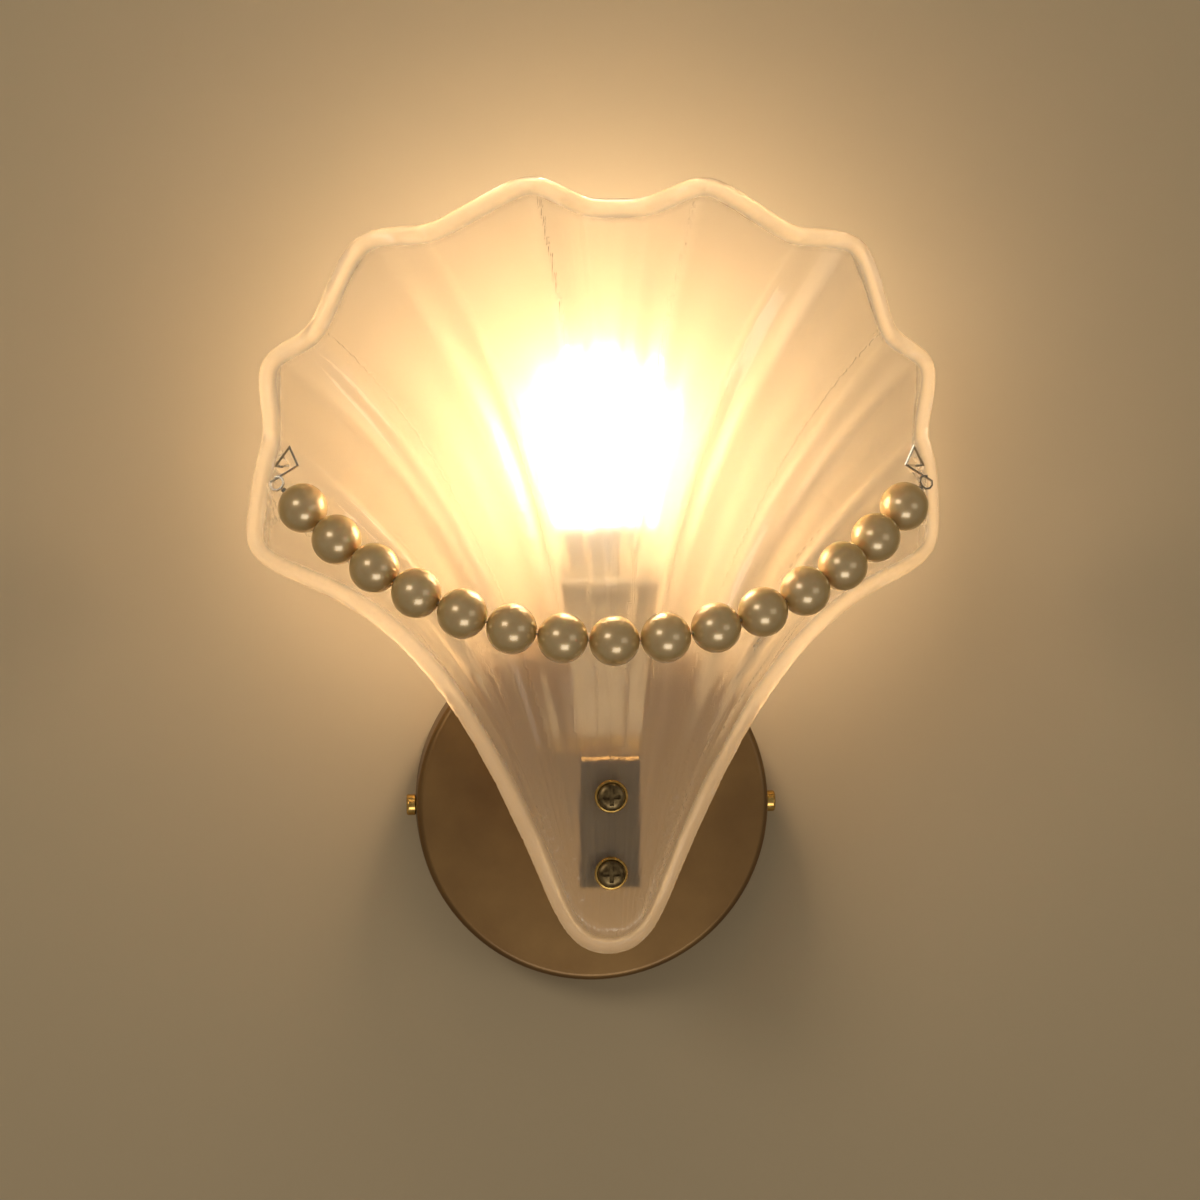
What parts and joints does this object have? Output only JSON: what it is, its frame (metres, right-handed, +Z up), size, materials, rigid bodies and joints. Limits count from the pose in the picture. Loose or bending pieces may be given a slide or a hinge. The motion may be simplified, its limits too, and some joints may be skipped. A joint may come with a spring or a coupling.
{
  "type": "wall_sconce",
  "caption": "Wall sconce with a fluted frosted glass shell, a round bronze canopy, a lamp behind the glass and a strand of pearls hung across the front.",
  "frame": {"origin": "centre of the canopy's back, on the wall", "axes": "+X to the right seen from the room, +Y into the wall, +Z up"},
  "size_m": [0.2334, 0.1088, 0.2672],
  "materials": {
    "bronze_metal": "satin",
    "zinc_steel": "satin",
    "bright_steel": "satin",
    "dark_steel": "satin",
    "brushed_steel": "brushed",
    "gold_brass": "polished",
    "cream_plastic": "matte",
    "white_plastic": "matte",
    "black_rubber": "matte",
    "cord_plastic": "satin",
    "frosted_glass": "frosted",
    "opal_glass": "opal",
    "bulb_cap_metal": "satin",
    "pearl": "pearly",
    "thread_fabric": "satin",
    "hook_wire": "satin"
  },
  "bodies": {
    "fixture": {"wall_canopy": "bronze_metal", "mounting_crossbar": "zinc_steel", "earth_screw": "bright_steel", "terminal_block": "cream_plastic", "terminal_screws": "bright_steel", "canopy_grommet": "black_rubber", "shell_bracket": "brushed_steel", "bracket_foot_screws": "bright_steel", "bracket_foot_nuts": "bright_steel", "shell_screws": "dark_steel", "shell_cup_washers": "gold_brass", "shell_screw_nuts": "gold_brass", "hollow_nipple": "gold_brass", "nipple_locknut": "gold_brass", "holder_cup": "gold_brass", "holder_base": "cream_plastic", "holder_barrel": "cream_plastic", "holder_ring": "cream_plastic", "holder_sleeve": "gold_brass", "holder_centre_contact": "gold_brass", "lamp_cord": "cord_plastic", "glass_shell": "frosted_glass"},
    "bulb": {"bulb_tip_contact": "bright_steel", "bulb_cap": "bulb_cap_metal", "bulb_housing": "white_plastic", "bulb_globe": "opal_glass"},
    "pearl_strand": {"pearls": "pearl", "pearl_thread": "thread_fabric", "thread_end_beads": "hook_wire", "strand_hooks": "hook_wire"},
    "left_screw": {"side_screw_left": "gold_brass"},
    "right_screw": {"side_screw_right": "gold_brass"}
  },
  "joints": [
    {"name": "bulb_removal", "type": "slide", "parent": "fixture", "child": "bulb", "axis": [0, 0, 1], "range_m": [0, 0.045]},
    {"name": "strand_swing", "type": "hinge", "parent": "fixture", "child": "pearl_strand", "pos_m": [0, -0.045, 0.116], "axis": [-1, 0, 0], "range_deg": [0, 20]},
    {"name": "left_screw_out", "type": "slide", "parent": "fixture", "child": "left_screw", "axis": [-1, 0, 0], "range_m": [0, 0.01]},
    {"name": "right_screw_out", "type": "slide", "parent": "fixture", "child": "right_screw", "axis": [1, 0, 0], "range_m": [0, 0.01]}
  ]
}
